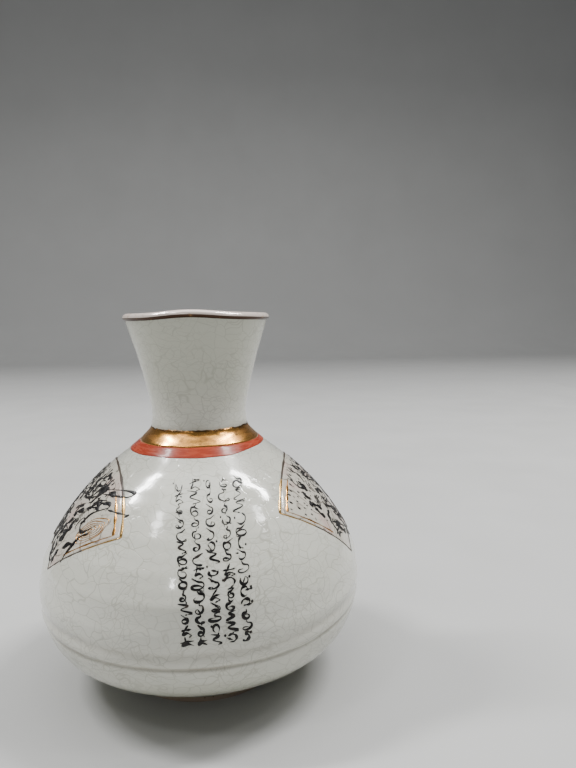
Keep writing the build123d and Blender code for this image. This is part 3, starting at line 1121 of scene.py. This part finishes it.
for side_name, fan in fans.items():
    label = f"{side_name}_fan"
    fan_ground(fan, f"{label}_leaf", slip_look, f"{label}_ground")
    outline = fan_outline(fan).piece(f"{label}_outline", line_look, f"{label}_edging")
    corner = face_on(fan["azimuth"], from_front(fan, 1.0, 0.0), 0.0)
    reaches = [(vertex.co - corner).length / MM for vertex in outline.data.vertices]
    store_shares(outline, "gilt", [1 - smooth_step(reach, *gilt_fade) for reach in reaches])
    strokes = fan_brushwork(side_name, fan)
    strokes.piece(f"{label}_strokes", ink_look, f"{label}_brushwork")
    fan_gilding(fan).piece(f"{label}_corner_gold", gold_look, f"{label}_gilding")
    if side_name in grain_fans:
        fan_grain(fan).piece(f"{label}_grain_lines", gold_look, f"{label}_grain")

for node, look in (("foot_ring", clay_look), ("foot_well_glaze", glaze_look)):
    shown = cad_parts[node]
    shown.data.materials.clear()
    shown.data.materials.append(look[0])


# ==== studio ================
def make_floor():
    """A wide pale table under the bottle that sweeps up behind it."""
    width, front, back, rise, bend = 3.0, -1.4, 1.6, 1.6, 0.5
    line = [(front, 0.0), (back, 0.0)]
    for step in range(1, 13):
        turn = pi / 2 * step / 12
        line.append((back + bend * sin(turn), bend * (1 - cos(turn))))
    line.append((back + bend, rise))
    points = [(side * width, y, z) for y, z in line for side in (-1, 1)]
    faces = [(2 * row, 2 * row + 1, 2 * row + 3, 2 * row + 2) for row in range(len(line) - 1)]
    mesh = bpy.data.meshes.new("floor")
    mesh.from_pydata(points, [], faces)
    mesh.polygons.foreach_set("use_smooth", [True] * len(faces))
    mesh.materials.append(studio_floor())
    floor = bpy.data.objects.new("floor", mesh)
    bpy.context.scene.collection.objects.link(floor)


def area_light(name, place, target, size, power, shape="RECTANGLE"):
    """A soft light of a size and shape that points at a target."""
    lamp = bpy.data.lights.new(name, "AREA")
    lamp.shape = shape
    lamp.size = size[0]
    if shape == "RECTANGLE":
        lamp.size_y = size[1]
    lamp.energy = power
    light = bpy.data.objects.new(name, lamp)
    light.location = place
    light.rotation_euler = (Vector(target) - Vector(place)).to_track_quat("-Z", "Y").to_euler()
    bpy.context.scene.collection.objects.link(light)


def make_camera():
    """A camera close in front, just below the lip's height, turned and tipped slightly."""
    stand = (0.0, -0.2129, 0.1163)
    turn, tip, roll = radians(8.02), radians(5.78), radians(-0.71)
    forward = Vector((sin(turn) * cos(tip), cos(turn) * cos(tip), -sin(tip)))
    level = Vector((cos(turn), -sin(turn), 0.0))
    upright = level.cross(forward)
    right = level * cos(roll) + upright * sin(roll)
    up = upright * cos(roll) - level * sin(roll)
    lens = bpy.data.cameras.new("camera")
    lens.sensor_fit = "VERTICAL"
    lens.sensor_height = 36.0
    lens.lens = 29.9
    lens.clip_start = 0.01
    camera = bpy.data.objects.new("camera", lens)
    turned = Matrix((right, up, -forward)).transposed().to_4x4()
    camera.matrix_world = Matrix.Translation(stand) @ turned
    bpy.context.scene.collection.objects.link(camera)
    bpy.context.scene.camera = camera


def make_world():
    """A dim even surround."""
    world = bpy.data.worlds.new("surround")
    world.use_nodes = True
    background = world.node_tree.nodes["Background"]
    background.inputs["Color"].default_value = (0.75, 0.78, 0.82, 1.0)
    background.inputs["Strength"].default_value = 0.16
    bpy.context.scene.world = world


make_floor()
make_world()
middle = (0.0, 0.0, 0.06)
area_light("overhead_softbox", (0.0, 0.1, 1.5), middle, (1.5, 1.3), 14.5)
area_light("left_strip", (-0.80, 0.20, 1.17), (-0.80, 0.0, 0.0), (0.52, 0.09), 19.0)
area_light("right_strip", (0.71, 0.11, 1.17), (0.71, 0.0, 0.0), (0.62, 0.09), 20.0)
for name, place in (("left_lamp", (-0.58, -0.39, 1.04)), ("right_lamp", (0.75, -0.26, 0.98))):
    area_light(name, place, middle, (0.16, 0.16), 1.6, "DISK")
area_light("front_lamp", (-0.40, -0.97, 0.62), middle, (0.06, 0.06), 0.4, "DISK")
make_camera()
